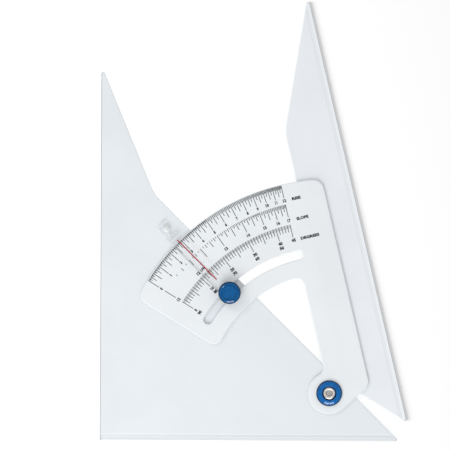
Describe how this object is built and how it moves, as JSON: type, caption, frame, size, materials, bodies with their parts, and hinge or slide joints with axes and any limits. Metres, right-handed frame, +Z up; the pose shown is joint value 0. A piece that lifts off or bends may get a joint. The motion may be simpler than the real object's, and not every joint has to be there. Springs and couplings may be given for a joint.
{
  "type": "adjustable set square",
  "caption": "Flat clear set square whose long edge swings as an arm on a riveted pivot, read on a curved scale plate and clamped by a knob.",
  "frame": {"origin": "on the table, under the middle of the part's box at rest", "axes": "+X to the right along the bottom drawing edge, +Y up the page towards the two apexes, +Z up off the table, through the thickness"},
  "size_m": [0.2074, 0.2972, 0.0142],
  "materials": {
    "base_sheet": "satin clear acrylic sheet, pale blue-grey",
    "arm_sheet": "satin clear acrylic sheet, pale blue-grey",
    "scale_sheet": "satin clear acrylic sheet, pale blue-grey",
    "clear_cursor": "water-clear moulded plastic",
    "red_ink": "red ink line",
    "dark_ink": "dark printed ink",
    "bond_film": "clear adhesive film",
    "blue_knob": "glossy blue moulded plastic",
    "blue_ring": "glossy blue moulded plastic",
    "rivet_metal": "nickel-plated rolled metal",
    "screw_steel": "zinc-plated steel",
    "nylon": "natural nylon",
    "insert_brass": "turned brass"
  },
  "bodies": {
    "base": {"base_plate": "base_sheet", "cursor": "clear_cursor", "cursor_hairline": "red_ink", "cursor_pin": "clear_cursor", "lock_screw": "screw_steel", "slot_bush": "nylon", "pivot_rivet": "rivet_metal", "pivot_back_washer": "rivet_metal", "pivot_friction_washer": "nylon", "pivot_spring_washer": "rivet_metal"},
    "arm": {"swing_arm": "arm_sheet", "arm_bond": "bond_film", "scale_plate": "scale_sheet", "pivot_ring": "blue_ring", "rise_marks": "dark_ink", "slope_marks": "dark_ink", "degree_marks": "dark_ink"},
    "clamp": {"clamp_washer": "screw_steel"},
    "knob": {"lock_knob": "blue_knob", "knob_cap": "blue_knob", "knob_insert": "insert_brass"}
  },
  "joints": [
    {"name": "arm_swing", "type": "hinge", "parent": "base", "child": "arm", "pos_m": [0.0514, -0.11606, 0.003], "axis": [0, 0, 1], "range_deg": [-13.33, 31.67]},
    {"name": "knob_lift", "type": "slide", "parent": "base", "child": "clamp", "axis": [0, 0, 1], "range_m": [0, 0.0007]},
    {"name": "knob_turn", "type": "hinge", "parent": "clamp", "child": "knob", "pos_m": [-0.01634, -0.04832, 0.00775], "axis": [0, 0, 1], "range_deg": [0, 360]}
  ],
  "couplings": [
    {"joint": "knob_turn", "follows": "knob_lift", "rad_per_m": 8976}
  ]
}
